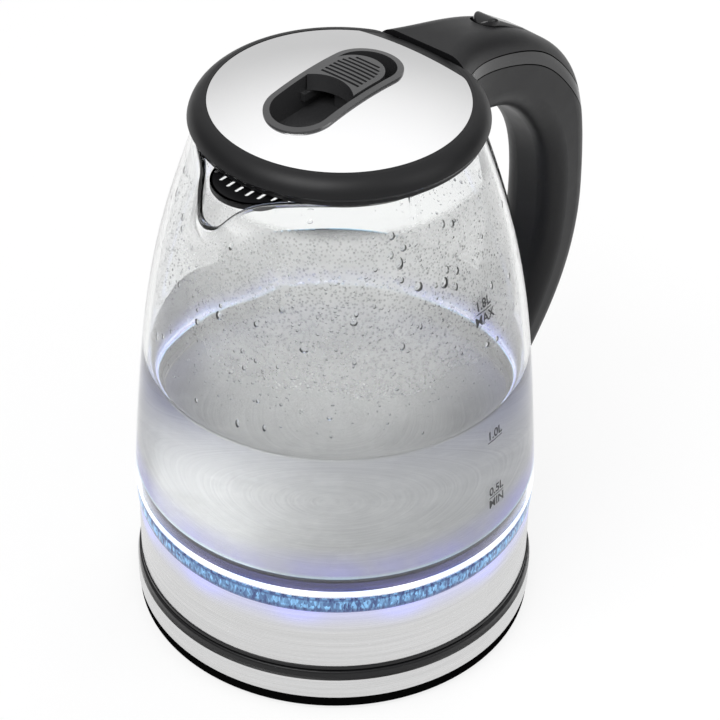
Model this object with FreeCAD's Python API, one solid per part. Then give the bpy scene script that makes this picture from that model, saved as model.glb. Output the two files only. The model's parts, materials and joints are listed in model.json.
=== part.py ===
import FreeCAD, Part
import math
import os

# Cordless electric kettle: glass jug with a lit foot, hinged lid, looped handle and a round power base.
# Millimetres. +Z is up, the origin is on the jug's axis at the table, the handle points along +X
# and the spout along -X.

V = FreeCAD.Vector
UP = V(0, 0, 1)
ALONG_X = V(1, 0, 0)
ALONG_Y = V(0, 1, 0)

# Shared clearances
seat_gap = 0.1          # fixed pieces that seat in each other
run_gap = 0.06          # pins in their bores, all round
slide_gap = 0.3         # moving pieces beside fixed ones
swing_gap = 0.7         # under the lid, which dips a little as it starts to swing

# Power base
base_r = 80.0
skirt_lift = 1.2        # skirt above the table
skirt_h = 5.8
base_band_h = 9.2
base_lip_h = 3.8        # rim of the base's cover
base_wall = 2.3
base_floor_t = 2.2
base_floor_z = 4.0
steel_t = 0.6
foot_inset = 14.0       # foot ring's middle inside the base's edge
foot_r = base_r - foot_inset
foot_w = 8.0
foot_h = base_floor_z
dish_depth = 1.2        # cover's dish below its rim
dish_inset = 9.0
dish_r = base_r - dish_inset
cover_t = 2.0
cord_w = 9.0            # cord outlet
cord_h = 5.0
cord_angle = 90.0
rib_t = 1.6
rib_count = 6

# Round connector
tower_r = 21.0
tower_rise = 9.6        # above the base's rest plane
earth_r = 3.2
slot_w = 2.2
live_slot_r = 6.6       # inner radius of the inner slot
neutral_slot_r = 14.4   # inner radius of the outer slot
slot_depth = 11.6
shutter_r = 9.8         # inner radius of the shutter's well
shutter_w = 3.6
shutter_h = 7.4
well_depth = 15.6
contact_t = 0.6
contact_h = 1.5
spring_wire = 1.0

# Jug foot
stand_gap = 0.3
floor_rim_h = 1.8
jug_inset = 1.6         # jug's band inside the base's edge
jug_r = base_r - jug_inset
jug_band_h = 28.7
foot_wall = 2.2
pan_t = 2.2
light_h = 7.8
light_w = 4.4
light_ribs = 60
light_rib_depth = 0.7
board_w = 10.0
board_t = 1.6
led_count = 12
led_size = 3.2
upstand_h = 7.9
plate_t = 0.8
diffuser_r = 58.0
diffuser_t = 2.6
element_r = 40.0
element_tube_r = 3.6
element_span = 300.0
control_wall = 3.0
bimetal_r = 9.0
bimetal_h = 1.6

# Glass
glass_overhang = 1.0    # glass and light ring beyond the jug's band
glass_foot_r = jug_r + glass_overhang
glass_neck_r = 51.7
glass_h = 161.4
glass_t = 2.4
# share of the height, share of the way from the neck's radius to the foot's
glass_curve = [(0.0, 1.0), (0.226, 0.917), (0.473, 0.773), (0.721, 0.502), (0.845, 0.296), (1.0, 0.0)]
spout_reach = 71.5      # tip of the spout from the axis
spout_half_angle = 37.0
spout_tip_r = 8.0
spout_drop = 13.0       # radius of the lip's droop
spout_root_h = 48.0     # the spout leaves the body this far below the rim

# Collar and filter
collar_wall = 2.4
collar_skirt_h = 3.6
collar_flange_t = 1.3
collar_gap = 0.5        # collar inside the glass neck
tongue_l = 15.0
tongue_w = 18.0
filter_t = 1.6
filter_drop = 1.6       # filter's top below the rim
filter_lip_h = 2.4
filter_r = 16.0
filter_reach = 61.5
filter_slots = 7
filter_slot_w = 1.1
filter_slot_l = 4.2
filter_pitch = 4.4      # between slots across the spout
filter_row_x = 53.8     # middle slot from the axis
filter_row_r = 24.0     # bend of the row of slots

# Lid
lid_r = 55.0
ring_w = 7.1
ring_h = 8.0
lid_rise = 7.0          # crown above the plate's edge
lid_chord = 45.6        # straight rear edge from the axis
plate_chord = 40.4
lid_corner = 6.0
lid_skin = 1.6
plug_gap = 1.8
plug_depth = 7.0
plug_wall = 1.8
pin_r = 1.0
knuckle_r = 1.7
pin_x = 43.6
pin_drop = 2.2          # pin below the plate's edge
pin_half = 16.0
lug_y = 8.0
lug_w = 4.0

# Finger cup, slider and latch
cup_front = -33.7
cup_rear = 27.6
cup_half = 13.0
cup_wall = 1.6
cup_lip = 0.8
cup_lip_t = 0.9
cup_depth = 12.6        # floor below the crown
rail_w = 1.8
rail_h = 3.0
rail_drop = 5.8         # rail's top below the crown
slider_front = -6.0
slider_rear = 19.3
slider_half = 10.9
slider_proud = 1.6
slider_scoop_r = 16.0
slider_scoop = 5.0
groove_count = 8
groove_pitch = 2.2
groove_w = 1.1
groove_d = 0.9
latch_travel = 6.0
stem_l = 8.0
stem_half = 4.0
bolt_half = 5.0
bolt_t = 2.4
bolt_drop = 2.4         # bolt's top below the lid's lower face
bolt_reach = 1.2        # nose past the neck opening
bolt_tail = 14.0
spring_l = 10.4
latch_wire = 0.7
latch_spring_r = 1.1

# Handle
handle_front_gap = 1.7  # between the lid's rear edge and the handle
handle_stand = 66.8     # handle's back beyond the jug's band
handle_reach = jug_r + handle_stand
handle_wall = 2.6
handle_corner = 9.0
grip_half = 14.0
root_half = 21.5
arm_h = 32.8
grip_t = 24.6
foot_root_h = 20.5
seam_gap = 0.5
trim_h = 5.6            # band between the two seams
screw_r = 1.5
screw_head_r = 3.0
screw_l = 10.0
wire_r = 2.0

# Rocker
rocker_half = 5.2
rocker_rise = 1.6       # nose above the slope
rocker_round = 1.2
rocker_l = 41.0
rocker_depth = 4.0      # sides below the handle's crown
rocker_x = 99.5
rocker_gap = 0.5
rocker_nose_gap = 1.5
nose_l = 6.5            # from the nose's front to its crest
waist_x = 5.0           # where the top meets the tail's flat
tail_rise = 0.4         # where the tail begins
tail_tilt = 8.0
switch_pin_r = 1.0
switch_pin_depth = 6.5
hub_r = 2.6
lens_l = 13.5
lens_half = 3.9
lens_t = 0.8
ear_w = 1.6
switch_l = 20.0
switch_h = 16.0

# Heights that follow
base_band_z = skirt_lift + skirt_h
cover_z = base_band_z + base_band_h
rest_z = cover_z + base_lip_h
foot_z = rest_z + stand_gap
jug_band_z = foot_z + floor_rim_h
light_z = jug_band_z + jug_band_h
glass_z = light_z + light_h
rim_z = glass_z + glass_h
collar_top = rim_z + collar_flange_t
lid_z = collar_top + swing_gap
plate_z = lid_z + ring_h
crown_z = plate_z + lid_rise
tower_top = rest_z + tower_rise
socket_z = tower_top + stand_gap
pan_z = glass_z - plate_t - plate_t + 0.2
element_z = pan_z - diffuser_t

# Radii that follow
plate_r = lid_r - ring_w
collar_r = glass_neck_r - glass_t - collar_gap
neck_r = collar_r - collar_wall
neck_chord = plate_chord + 1.1
plug_r = neck_r - plug_gap
plug_chord = plate_chord - slide_gap
dome_r = (plate_r ** 2 + lid_rise ** 2) / (2 * lid_rise)
dome_z = crown_z - dome_r
pin_z = plate_z - pin_drop
handle_x = lid_chord + handle_front_gap
upstand_r = glass_foot_r - glass_t - 0.8
control_r = tower_r + slide_gap + control_wall


def point(plane, a, b):
    # Plane xz puts (a, b) upright through the axis, plane xy lays it flat.
    return V(a, 0, b) if plane == "xz" else V(a, b, 0)


def outline(plane, start, *steps):
    # A step is the next corner, or a pair of points that an arc passes through and ends at.
    edges = []
    here = point(plane, *start)
    for step in steps:
        if isinstance(step[0], tuple):
            end = point(plane, *step[1])
            edges.append(Part.Arc(here, point(plane, *step[0]), end).toShape())
        else:
            end = point(plane, *step)
            edges.append(Part.makeLine(here, end))
        here = end
    first = point(plane, *start)
    if here.distanceToPoint(first) > 1e-6:
        edges.append(Part.makeLine(here, first))
    return Part.Face(Part.Wire(edges))


def turned(start, *steps):
    # Half section (radius, height) turned about the jug's axis.
    return outline("xz", start, *steps).revolve(V(0, 0, 0), UP, 360)


def flat(z0, z1, start, *steps):
    face = outline("xy", start, *steps)
    face.translate(V(0, 0, z0))
    return face.extrude(V(0, 0, z1 - z0))


def upright(half, start, *steps):
    # Side outline (x, z) given a width of twice half across Y.
    face = outline("xz", start, *steps)
    face.translate(V(0, -half, 0))
    return face.extrude(V(0, 2 * half, 0))


def cylinder(r, z0, z1, x=0, y=0):
    return Part.makeCylinder(r, z1 - z0, V(x, y, z0))


def ring(r0, r1, z0, z1):
    return cylinder(r1, z0, z1).cut(cylinder(r0, z0 - 1, z1 + 1))


def block(x0, x1, y0, y1, z0, z1):
    return Part.makeBox(x1 - x0, y1 - y0, z1 - z0, V(x0, y0, z0))


def cross_rod(r, half, x, z):
    return Part.makeCylinder(r, 2 * half, V(x, -half, z), ALONG_Y)


def spun(shape, angle):
    copy = shape.copy()
    copy.rotate(V(0, 0, 0), UP, angle)
    return copy


def around(shape, count, start=0.0):
    return [spun(shape, start + 360.0 * i / count) for i in range(count)]


def obround(x0, x1, half, z0, z1):
    a = x0 + half
    b = x1 - half
    return flat(z0, z1, (a, -half), (b, -half), ((x1, 0), (b, half)), (a, half), ((x0, 0), (a, -half)))


def cut_disc(radius, chord, corner, z0, z1):
    # Round prism with a straight rear edge and rounded corners.
    y = math.sqrt(radius ** 2 - chord ** 2)
    prism = flat(z0, z1, (chord, -y), (chord, y), ((-radius, 0), (chord, -y)))
    tall = [e for e in prism.Edges if e.BoundBox.ZLength > 0.9 * (z1 - z0)]
    corners = [e for e in tall if e.BoundBox.XMin > chord - 1]
    return prism.makeFillet(corner, corners)


def dome(drop=0.0):
    # Ball whose top is the lid plate's crown, lowered by drop.
    return Part.makeSphere(dome_r - drop, V(0, 0, dome_z))


def biarc(p0, t0, p1, t1):
    # Two arcs that leave p0 along t0 and reach p1 along t1.
    span = p1 - p0
    both = t0 + t1
    a = 2 * (1 - t0.dot(t1))
    b = span.dot(both)
    d = (-b + math.sqrt(b * b + a * span.dot(span))) / a
    middle = (p0 + t0 * d + p1 - t1 * d) * 0.5
    arcs = []
    for start, corner, end in ((p0, p0 + t0 * d, middle), (middle, p1 - t1 * d, p1)):
        chord = end - start
        half = (start + end) * 0.5
        lean = (corner - start).getAngle(chord)
        bulge = corner - half
        bulge.normalize()
        arcs.append(Part.Arc(start, half + bulge * (chord.Length / 2 * math.tan(lean / 2)), end).toShape())
    return arcs


def coil(name, start, axis, side, radius, wire, turns, length):
    # Compression spring: one tube along a helix, a quarter turn to each pair of arcs.
    other = axis.cross(side)
    pitch = length / turns
    quarter = math.pi / 2
    points = []
    tangents = []
    for i in range(4 * turns + 1):
        a = i * quarter
        spoke = side * (radius * math.cos(a)) + other * (radius * math.sin(a))
        points.append(start + spoke + axis * (pitch * i / 4))
        tangent = axis.cross(spoke) + axis * (pitch / (4 * quarter))
        tangent.normalize()
        tangents.append(tangent)
    edges = []
    for i in range(4 * turns):
        edges += biarc(points[i], tangents[i], points[i + 1], tangents[i + 1])
    circle = Part.Wire(Part.Circle(points[0], tangents[0], wire / 2).toShape())
    gap = min(points[i].distanceToPoint(points[i + 4]) for i in range(len(points) - 4)) - wire
    print(name, "gap between turns", round(gap, 2))
    return Part.Wire(edges).makePipeShell([circle], True, False)


def tube(name, points, radius):
    # Round tube on straight runs joined by arcs as large as the runs allow.
    edges = []
    here = points[0]
    radii = []
    for before, corner, after in zip(points, points[1:], points[2:]):
        arrive = corner - before
        leave = after - corner
        reach = 0.45 * min(arrive.Length, leave.Length)
        turn = arrive.getAngle(leave)
        arrive.normalize()
        leave.normalize()
        a = corner - arrive * reach
        b = corner + leave * reach
        bend = reach / math.tan(turn / 2)
        radii.append(round(bend, 1))
        inward = leave - arrive
        inward.normalize()
        middle = corner + inward * (math.hypot(bend, reach) - bend)
        edges.append(Part.makeLine(here, a))
        edges.append(Part.Arc(a, middle, b).toShape())
        here = b
    edges.append(Part.makeLine(here, points[-1]))
    path = Part.Wire(edges)
    circle = Part.Wire(Part.Circle(points[0], points[1] - points[0], radius).toShape())
    solid = path.makePipeShell([circle], True, False)
    print(name, "bend radii", radii)
    full = math.pi * radius ** 2 * path.Length
    print(name, "volume over section times length", round(solid.Volume / full, 4))
    return solid


def save(name, shape):
    shape.exportStep("parts/" + name + ".step")


def group(shapes):
    return Part.makeCompound(shapes)


# Power base
shell_r = base_r - steel_t - seat_gap
skirt_r = base_r - 0.5
inner_r = shell_r - base_wall
floor_top = base_floor_z + base_floor_t
screw_ring_r = 52.0
boss_r = 4.0


def base_shell():
    body = turned((0, base_floor_z), (skirt_r - base_wall, base_floor_z), (skirt_r - base_wall, skirt_lift),
                  (skirt_r - 0.8, skirt_lift), (skirt_r, skirt_lift + 0.8), (skirt_r, base_band_z),
                  (shell_r, base_band_z), (shell_r, cover_z), (inner_r, cover_z), (inner_r, floor_top),
                  (0, floor_top))
    rib = block(tower_r + 6, inner_r + 0.5, -rib_t / 2, rib_t / 2, floor_top - 0.2, cover_z - cover_t)
    body = body.fuse(around(rib, rib_count, 15.0))
    boss = cylinder(boss_r, floor_top - 0.2, cover_z - cover_t, screw_ring_r)
    body = body.fuse(around(boss, 3, 45.0))
    hole = cylinder(screw_r + seat_gap, base_floor_z - 1, cover_z, screw_ring_r)
    head = cylinder(screw_head_r + seat_gap, base_floor_z - 1, base_floor_z + 1.2, screw_ring_r)
    body = body.cut(around(hole, 3, 45.0) + around(head, 3, 45.0))
    outlet = upright(cord_w / 2, (inner_r - 6, skirt_lift - 1), (base_r + 2, skirt_lift - 1),
                     (base_r + 2, skirt_lift + cord_h), (inner_r - 6, skirt_lift + cord_h))
    return body.cut(spun(outlet, cord_angle))


def base_band():
    return ring(base_r - steel_t, base_r, base_band_z, cover_z)


def base_cover():
    rim_r = base_r - 0.6
    top = rest_z - dish_depth
    body = turned((tower_r + 0.4, cover_z - cover_t + 1.4), (tower_r + 0.4, top), (dish_r, top),
                  (dish_r + 1.5, rest_z), (rim_r - 1.0, rest_z),
                  ((rim_r - 0.3, rest_z - 0.3), (rim_r, rest_z - 1.0)), (rim_r, cover_z),
                  (inner_r - 0.3, cover_z), (inner_r - 0.3, cover_z - cover_t + 1.4))
    boss = cylinder(boss_r, cover_z - cover_t, top - 0.2, screw_ring_r)
    body = body.fuse(around(boss, 3, 45.0))
    hole = cylinder(screw_r, cover_z - cover_t - 1, cover_z + 1.5, screw_ring_r)
    return body.cut(around(hole, 3, 45.0))


def base_screws():
    head = cylinder(screw_head_r, base_floor_z, base_floor_z + 1.2, screw_ring_r)
    screw = head.fuse(cylinder(screw_r - 0.02, base_floor_z, cover_z + 1.2, screw_ring_r))
    return group(around(screw, 3, 45.0))


def base_foot_ring():
    r0 = foot_r - foot_w / 2
    r1 = foot_r + foot_w / 2
    return turned((r0, foot_h), (r0, 0.8), (r0 + 0.8, 0), (r1 - 0.8, 0), (r1, 0.8), (r1, foot_h))


live_r = live_slot_r + slot_w / 2
neutral_r = neutral_slot_r + slot_w / 2
slot_z = tower_top - slot_depth
well_z = tower_top - well_depth


def base_coupler():
    body = turned((0, floor_top), (tower_r + 3, floor_top), (tower_r + 3, cover_z - cover_t),
                  (tower_r, cover_z - cover_t), (tower_r, tower_top - 1.0),
                  ((tower_r - 0.3, tower_top - 0.3), (tower_r - 1.0, tower_top)), (0, tower_top))
    body = body.cut(cylinder(earth_r, slot_z - 2, tower_top + 1))
    body = body.cut(ring(live_slot_r, live_slot_r + slot_w, slot_z, tower_top + 1))
    body = body.cut(ring(neutral_slot_r, neutral_slot_r + slot_w, slot_z, tower_top + 1))
    return body.cut(ring(shutter_r, shutter_r + shutter_w, well_z, tower_top + 1))


def coupler_contacts():
    earth = ring(earth_r - 0.9, earth_r - 0.05, slot_z - 2, tower_top - 3)
    live = ring(live_slot_r + seat_gap, live_slot_r + slot_w - seat_gap, slot_z, slot_z + contact_h)
    neutral = ring(neutral_slot_r + seat_gap, neutral_slot_r + slot_w - seat_gap, slot_z, slot_z + contact_h)
    return group([earth, live, neutral])


def contact_shutter():
    r0 = shutter_r + run_gap
    r1 = shutter_r + shutter_w - run_gap
    top = tower_top - 0.2
    return turned((r0, top - shutter_h), (r1, top - shutter_h), (r1, top - 0.5), (r1 - 0.5, top),
                  (r0 + 0.5, top), (r0, top - 0.5))


def shutter_spring():
    start = well_z + spring_wire / 2 + seat_gap
    end = tower_top - 0.2 - shutter_h - spring_wire / 2 - slide_gap
    mean_r = shutter_r + shutter_w / 2
    return coil("shutter_spring", V(0, 0, start), UP, ALONG_X, mean_r, spring_wire, 3, end - start)


# Jug foot
wall_r = jug_r - steel_t - seat_gap
light_r = glass_foot_r - 0.2
light_in_r = light_r - light_w - light_rib_depth
ledge_r = light_in_r - 2.6
ledge_z = light_z - 1.4
wire_hole_r = wire_r + 1.0
wire_points = [(control_r + 0.3, foot_z + 13.7), (52.0, foot_z + 10.7), (jug_r, foot_z + 20.2),
               (jug_r + 25.6, foot_z + 37.7), (handle_reach - 24.2, foot_z + 59.7),
               (handle_reach - 14.2, foot_z + 85.7), (handle_reach - 11.7, rim_z - 85.0),
               (handle_reach - 16.2, rim_z - 57.0), (handle_reach - 27.2, rim_z - 37.0)]
root_screw_y = 8.0
root_screw_z = 37.0


def wire_hole():
    a = V(wire_points[1][0], 0, wire_points[1][1])
    b = V(wire_points[2][0], 0, wire_points[2][1])
    c = V(wire_points[3][0], 0, wire_points[3][1])
    inner = Part.makeCylinder(wire_hole_r, (b - a).Length, a, b - a)
    outer = Part.makeCylinder(wire_hole_r, (c - b).Length, b, c - b)
    return inner.fuse([outer, Part.makeSphere(wire_hole_r, b)])


def root_screw_holes(r):
    x0 = wall_r - 20
    return [Part.makeCylinder(r, 50, V(x0, y, root_screw_z), ALONG_X) for y in (-root_screw_y, root_screw_y)]


def jug_floor():
    r = jug_r + 0.4
    body = turned((control_r + 0.2, foot_z), (r - 0.6, foot_z), (r, foot_z + 0.6), (r, jug_band_z),
                  (wall_r, jug_band_z), (wall_r, ledge_z), (wall_r - foot_wall, ledge_z),
                  (wall_r - foot_wall, foot_z + pan_t),
                  (control_r + 0.2, foot_z + pan_t))
    body = body.cut(root_screw_holes(screw_r + seat_gap))
    return body.cut(wire_hole())


def jug_band():
    body = ring(jug_r - steel_t, jug_r, jug_band_z, light_z)
    body = body.cut(root_screw_holes(screw_r + seat_gap))
    return body.cut(wire_hole())


def light_ring():
    corners = []
    for i in range(2 * light_ribs):
        a = math.pi * i / light_ribs
        r = light_r - (light_rib_depth if i % 2 else 0.0)
        corners.append(V(r * math.cos(a), r * math.sin(a), light_z))
    corners.append(corners[0])
    body = Part.Face(Part.makePolygon(corners)).extrude(V(0, 0, light_h))
    body = body.fuse(cylinder(wall_r, ledge_z, light_z + 0.5))
    body = body.cut(cylinder(light_in_r, light_z, glass_z + 1))
    return body.cut(cylinder(ledge_r, ledge_z - 1, glass_z))


board_out_r = light_in_r - slide_gap


def led_board():
    return ring(board_out_r - board_w, board_out_r, light_z, light_z + board_t)


def leds():
    z = light_z + board_t
    lamp = block(board_out_r - led_size - 0.3, board_out_r - 0.3, -led_size / 2, led_size / 2, z, z + 1.9)
    lamp = lamp.cut(cylinder(1.0, z + 1.5, z + 3, board_out_r - 0.3 - led_size / 2))
    return group(around(lamp, led_count))


def heating_plate():
    r = light_in_r - slide_gap
    return turned((0, pan_z), (r, pan_z), (r, glass_z), (upstand_r, glass_z),
                  (upstand_r, glass_z + upstand_h), (upstand_r - plate_t, glass_z + upstand_h),
                  (upstand_r - plate_t, glass_z + plate_t),
                  (r - plate_t, glass_z + plate_t), (r - plate_t, pan_z + plate_t), (0, pan_z + plate_t))


def glass_seal():
    return ring(upstand_r + 0.05, upstand_r + 0.4, glass_z + 1, glass_z + upstand_h - 1.5)


def diffuser_plate():
    return cylinder(diffuser_r, element_z, pan_z)


def heating_element():
    z = element_z - element_tube_r - seat_gap
    circle = Part.Face(Part.Wire(Part.Circle(V(element_r, 0, z), ALONG_Y, element_tube_r).toShape()))
    loop = circle.revolve(V(0, 0, 0), UP, element_span)
    loop.rotate(V(0, 0, 0), UP, (360 - element_span) / 2)
    tails = []
    for side in (-1, 1):
        a = math.radians((360 - element_span) / 2 + 3) * side
        tails.append(cylinder(2.4, z - 12, z + 1, element_r * math.cos(a), element_r * math.sin(a)))
    return loop.fuse(tails)


control_top = element_z - bimetal_h - slide_gap


def kettle_control():
    socket_r = tower_r + slide_gap
    body = turned((0, socket_z), (socket_r, socket_z), (socket_r, foot_z), (control_r, foot_z),
                  (control_r, control_top - 3), (control_r - 3, control_top), (0, control_top))
    for side in (-1, 1):
        body = body.cut(cylinder(bimetal_r + 0.6, control_top - 1.5, control_top + 1, 0, side * 11))
        body = body.fuse(cylinder(2.0, control_top - 2, control_top, 0, side * 11))
    return body


def bimetal_discs():
    rise = 0.9
    ball = (bimetal_r ** 2 + rise ** 2) / (2 * rise)
    discs = []
    for side in (-1, 1):
        top = V(0, side * 11, control_top + rise - ball)
        cap = Part.makeSphere(ball, top).cut(Part.makeSphere(ball - 0.5, top))
        discs.append(cap.common(cylinder(bimetal_r, control_top - 1.4, control_top + 3, 0, side * 11)))
    return group(discs)


def control_contacts():
    low = slot_z + contact_h + 1.5
    pin = cylinder(earth_r - 1.2, low, socket_z)
    pin = pin.fuse(Part.makeSphere(earth_r - 1.2, V(0, 0, low)))
    live = ring(live_r - contact_t / 2, live_r + contact_t / 2, low, socket_z)
    neutral = ring(neutral_r - contact_t / 2, neutral_r + contact_t / 2, low, socket_z)
    return group([pin, live, neutral])


# Glass
def glass_radius_points(inset):
    spread = glass_foot_r - glass_neck_r
    return [V(glass_neck_r + spread * s - inset, 0, glass_z + glass_h * h) for h, s in glass_curve]


def glass_body(inset, z0, z1):
    # Solid of revolution under the glass's outer curve, moved in by inset, between two heights.
    points = glass_radius_points(inset)
    curve = Part.BSplineCurve()
    curve.interpolate(points)
    low = points[0]
    high = points[-1]
    top = V(high.x, 0, max(high.z, z1))
    bottom = V(low.x, 0, min(low.z, z0))
    edges = [curve.toShape()]
    if top.z - high.z > 1e-6:
        edges.append(Part.makeLine(high, top))
    edges.append(Part.makeLine(top, V(0, 0, top.z)))
    edges.append(Part.makeLine(V(0, 0, top.z), V(0, 0, bottom.z)))
    edges.append(Part.makeLine(V(0, 0, bottom.z), bottom))
    if low.z - bottom.z > 1e-6:
        edges.append(Part.makeLine(bottom, low))
    solid = Part.Face(Part.Wire(Part.__sortEdges__(edges))).revolve(V(0, 0, 0), UP, 360)
    return solid


def glass_radius(z):
    curve = Part.BSplineCurve()
    curve.interpolate(glass_radius_points(0))
    low = glass_z
    return curve.value(curve.parameter(V(glass_foot_r, 0, max(z, low)))).x


def spout_section(reach, z, inset):
    # Wedge with a round tip: two straight sides that start inside the body.
    a = math.radians(spout_half_angle)
    r = spout_tip_r - inset
    centre = reach - spout_tip_r
    side = (-centre - r * math.sin(a), r * math.cos(a))
    back = -glass_neck_r * 0.45
    width = side[1] + (back - side[0]) * math.tan(a)
    face = outline("xy", (back, -width), (side[0], -side[1]), ((-centre - r, 0), side), (back, width))
    face.translate(V(0, 0, z))
    return face.OuterWire


def spout_body(inset, rise):
    root = rim_z - spout_root_h
    body_r = glass_neck_r + (glass_foot_r - glass_neck_r) * 0.5
    stages = [(body_r - 2.0, root), (body_r - 0.5, root + 14), (spout_reach - 4.6, root + 26),
              (spout_reach - 0.8, root + 37), (spout_reach + 1.2, rim_z + rise)]
    return Part.makeLoft([spout_section(reach, z, inset) for reach, z in stages], True, False)


def glass_jug():
    outer = glass_body(0, glass_z, rim_z).fuse(spout_body(0, 2))
    inner = glass_body(glass_t, glass_z - 2, rim_z + 3).fuse(spout_body(glass_t, 4))
    jug = outer.cut(inner)
    far = spout_reach + 20
    lip_x = -(spout_reach - spout_drop)
    bow = spout_drop * math.sqrt(0.5)
    above = upright(80, (90, rim_z), (90, rim_z + 20), (-far, rim_z + 20), (-far, rim_z - spout_drop),
                    (-spout_reach, rim_z - spout_drop),
                    ((lip_x - bow, rim_z - spout_drop + bow), (lip_x, rim_z)))
    return jug.cut(above)


# Collar and filter
flange_r = lid_r - 1.6


def neck_collar():
    body = cylinder(collar_r, rim_z - collar_skirt_h, collar_top)
    body = body.fuse(cylinder(flange_r, rim_z, collar_top))
    body = body.cut(cut_disc(neck_r, neck_chord, 4.0, rim_z - 40, collar_top + 1))
    notch_x = neck_r + bolt_reach + 2.0
    bolt_low = lid_z - bolt_drop - bolt_t
    notch_half = bolt_half + 0.6
    body = body.cut(block(-notch_x, -neck_r + 3, -notch_half, notch_half, bolt_low - 1, collar_top + 1))
    for side in (-1, 1):
        y0 = side * (lug_y + lug_w / 2) - lug_w / 2
        lug = block(pin_x - knuckle_r, pin_x + knuckle_r, y0, y0 + lug_w, collar_top - 0.5, pin_z)
        knuckle = Part.makeCylinder(knuckle_r, lug_w, V(pin_x, y0, pin_z), ALONG_Y)
        body = body.fuse([lug, knuckle])
    tongue_x = handle_x + 0.2
    tongue = block(tongue_x, tongue_x + tongue_l, -tongue_w / 2, tongue_w / 2, collar_top - 0.5,
                   plate_z - handle_wall)
    duct = Part.makeCylinder(2.0, tongue_l + 2, V(tongue_x - 1, 0, lid_z + 2.6), ALONG_X)
    body = body.fuse(tongue).cut(duct)
    return body.cut(cross_rod(pin_r + 0.02, pin_half, pin_x, pin_z))


def collar_seal():
    z0 = rim_z - 2.8
    r1 = glass_neck_r - glass_t + 0.2
    body = ring(collar_r + 0.05, r1, z0, z0 + 2)
    return body.cut(block(-lid_r - 20, -30, -80, 80, z0 - 1, z0 + 4))


def spout_filter():
    top = rim_z - filter_drop
    centre = -(filter_reach - filter_r)
    plate = cylinder(filter_r, top - filter_t, top, centre)
    lip = cylinder(filter_r, top - filter_lip_h, top, centre)
    lip = lip.cut(cylinder(filter_r - 1.2, top - 6, top + 1, centre))
    body = plate.fuse(lip).cut(cylinder(collar_r + 0.05, top - 10, top + 5))
    slots = []
    for i in range(filter_slots):
        y = (i - (filter_slots - 1) / 2) * filter_pitch
        x = filter_row_r - filter_row_x - math.sqrt(filter_row_r ** 2 - y ** 2)
        slots.append(obround(x - filter_slot_l / 2, x + filter_slot_l / 2, filter_slot_w / 2, top - 10, top + 1))
        slots[-1].translate(V(0, y, 0))
    return body.cut(slots)


def hinge_pin():
    return cross_rod(pin_r, pin_half - 0.3, pin_x, pin_z)


# Lid
def lid_cap():
    # Full lid form: ring turned about the axis, domed top, straight rear edge.
    r = lid_r
    body = turned((0, lid_z), (r - 0.8, lid_z), (r, lid_z + 1.4),
                  ((r - 1.6, lid_z + 5.0), (plate_r + 1.6, plate_z - 0.1)), (plate_r, plate_z + 0.2),
                  (0, plate_z + 0.2))
    crown = dome().common(cylinder(plate_r, plate_z - 1, crown_z + 5))
    body = body.fuse(crown)
    return body.common(cut_disc(r + 1, lid_chord, lid_corner, lid_z - 1, crown_z + 5))


def lid_shell():
    body = lid_cap()
    recess = cut_disc(plate_r, plate_chord, lid_corner, plate_z - 4, crown_z + 5).cut(dome(steel_t))
    body = body.cut(recess)
    hollow = cut_disc(plug_r - plug_wall, plug_chord - 2, 3.0, lid_z - 1, crown_z + 5)
    body = body.cut(hollow.common(dome(steel_t + lid_skin)))
    channel = ring(plate_r + 0.4, lid_r - 2.2, lid_z - 1, lid_z + 3.6)
    body = body.cut(channel.cut(block(plug_chord - 6, lid_r + 5, -80, 80, lid_z - 2, crown_z)))
    body = body.cut(obround(cup_front - 0.2, cup_rear + 0.2, cup_half + 0.2, lid_z - 1, crown_z + 5))
    room = knuckle_r + slide_gap
    for side in (-1, 1):
        y0 = side * (lug_y + lug_w / 2) - lug_w / 2
        body = body.cut(block(pin_x - room, lid_r, y0 - slide_gap, y0 + lug_w + slide_gap, lid_z - 1,
                              pin_z + room))
    return body.cut(cross_rod(pin_r + run_gap, pin_half, pin_x, pin_z))


def lid_plate():
    body = cut_disc(plate_r - seat_gap, plate_chord - seat_gap, lid_corner, plate_z - 4, crown_z + 5)
    body = body.common(dome()).cut(dome(steel_t))
    return body.cut(obround(cup_front - 0.2, cup_rear + 0.2, cup_half + 0.2, lid_z - 1, crown_z + 5))


cup_floor = crown_z - cup_depth
rail_top = crown_z - rail_drop
stem_x = slider_front + 8.0
bolt_top = lid_z - bolt_drop


def lid_bezel():
    outer = obround(cup_front, cup_rear, cup_half, cup_floor - cup_wall, crown_z + 5)
    lip = obround(cup_front - cup_lip, cup_rear + cup_lip, cup_half + cup_lip, plate_z, crown_z + 5)
    body = outer.fuse(lip.cut(dome(-0.05))).common(dome(-cup_lip_t))
    inner = obround(cup_front + cup_wall, cup_rear - cup_wall, cup_half - cup_wall, cup_floor, crown_z + 6)
    body = body.cut(inner)
    wall_y = cup_half - cup_wall
    for side in (-1, 1):
        y0 = side * (wall_y - rail_w / 2 + 0.2) - rail_w / 2 - 0.2
        rail = block(slider_front - 2, cup_rear - cup_half, y0, y0 + rail_w + 0.4, rail_top - rail_h,
                     rail_top)
        body = body.fuse(rail.common(outer))
    slot = block(stem_x - slide_gap, stem_x + stem_l + latch_travel + slide_gap, -stem_half - slide_gap,
                 stem_half + slide_gap, cup_floor - cup_wall - 1, cup_floor + 1)
    return body.cut(slot)


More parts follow.
